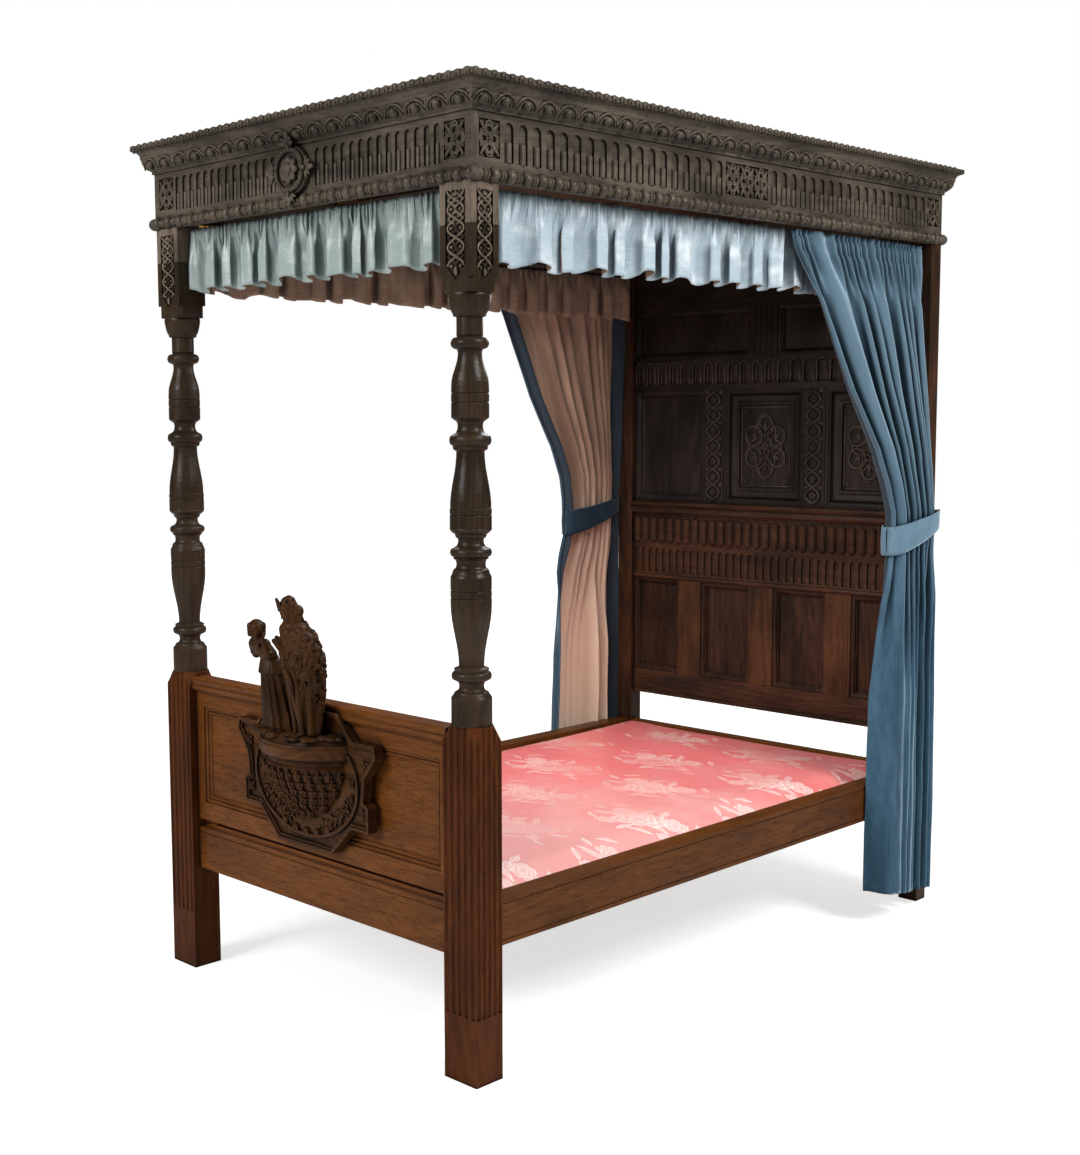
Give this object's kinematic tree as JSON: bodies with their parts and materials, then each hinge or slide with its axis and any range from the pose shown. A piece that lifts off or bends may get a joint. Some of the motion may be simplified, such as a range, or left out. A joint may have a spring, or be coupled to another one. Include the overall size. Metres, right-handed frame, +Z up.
{
  "type": "four-poster bed",
  "caption": "Antique carved oak four-poster bed with turned foot posts, panelled headboard, tester, upholstered base and tied-back hangings.",
  "frame": {"origin": "on the floor under the middle of the whole bed, hangings and cornice included", "axes": "+Z up, the head end at +Y, the foot end at -Y, +X to the right of someone who stands at the foot and looks at the headboard"},
  "size_m": [1.423, 2.2335, 2.343],
  "materials": {
    "oak_dark": "satin",
    "oak_carved": "satin",
    "oak_brown": "satin",
    "oak_leg": "satin",
    "oak_warm": "satin",
    "plain_softwood": "matte",
    "iron": "matte",
    "brass": "satin",
    "damask": "satin",
    "velvet": "matte",
    "silk": "satin"
  },
  "bodies": {
    "bedstead": {"leg_foot_left": "oak_leg", "leg_foot_right": "oak_leg", "post_foot_left": "oak_dark", "post_foot_right": "oak_dark", "tester_block_left": "oak_dark", "tester_block_right": "oak_dark", "head_post_left": "oak_brown", "head_post_right": "oak_brown", "side_rail_left": "oak_warm", "side_rail_right": "oak_warm", "foot_rail": "oak_warm", "head_rail": "oak_brown", "ledgers": "plain_softwood", "slats": "plain_softwood", "corner_irons": "iron", "iron_screws": "iron", "footboard_top_rail": "oak_warm", "footboard_bottom_rail": "oak_warm", "footboard_stiles": "oak_warm", "footboard_panel": "oak_warm", "footboard_moulding": "oak_warm", "cartouche": "oak_carved", "bracket": "oak_carved", "figure_gowned": "oak_carved", "figure_crowned": "oak_carved", "headboard_bottom_rail": "oak_brown", "lower_muntins": "oak_brown", "lower_panels": "oak_brown", "fluted_rail": "oak_brown", "gadrooned_rail": "oak_brown", "headboard_shelf": "oak_brown", "upper_muntins": "oak_brown", "middle_panels": "oak_brown", "arcaded_rail": "oak_brown", "top_panels": "oak_brown", "headboard_top_rail": "oak_brown", "frieze_foot": "oak_dark", "frieze_left": "oak_dark", "frieze_right": "oak_dark", "frieze_head": "oak_dark", "cornice": "oak_dark", "bead_moulding": "oak_dark", "frieze_boss": "oak_dark", "tester_frame": "oak_brown", "tester_panels": "oak_brown", "curtain_rod_left": "brass", "curtain_rod_right": "brass", "valance_rods": "brass", "rod_brackets": "brass", "valance_foot": "silk", "valance_left": "silk", "valance_right": "silk", "tieback_hooks": "brass"},
    "base": {"upholstered_base": "damask"},
    "hanging_left": {"curtain_left": "velvet", "curtain_rings_left": "brass", "tieback_left": "velvet"},
    "hanging_right": {"curtain_right": "velvet", "curtain_rings_right": "brass", "tieback_right": "velvet"}
  },
  "joints": [
    {"name": "base_lift", "type": "slide", "parent": "bedstead", "child": "base", "axis": [0, 0, 1], "range_m": [0, 0.25]},
    {"name": "curtain_left_draw", "type": "slide", "parent": "bedstead", "child": "hanging_left", "axis": [0, -1, 0], "range_m": [0, 1.15]},
    {"name": "curtain_right_draw", "type": "slide", "parent": "bedstead", "child": "hanging_right", "axis": [0, -1, 0], "range_m": [0, 1.15]}
  ]
}
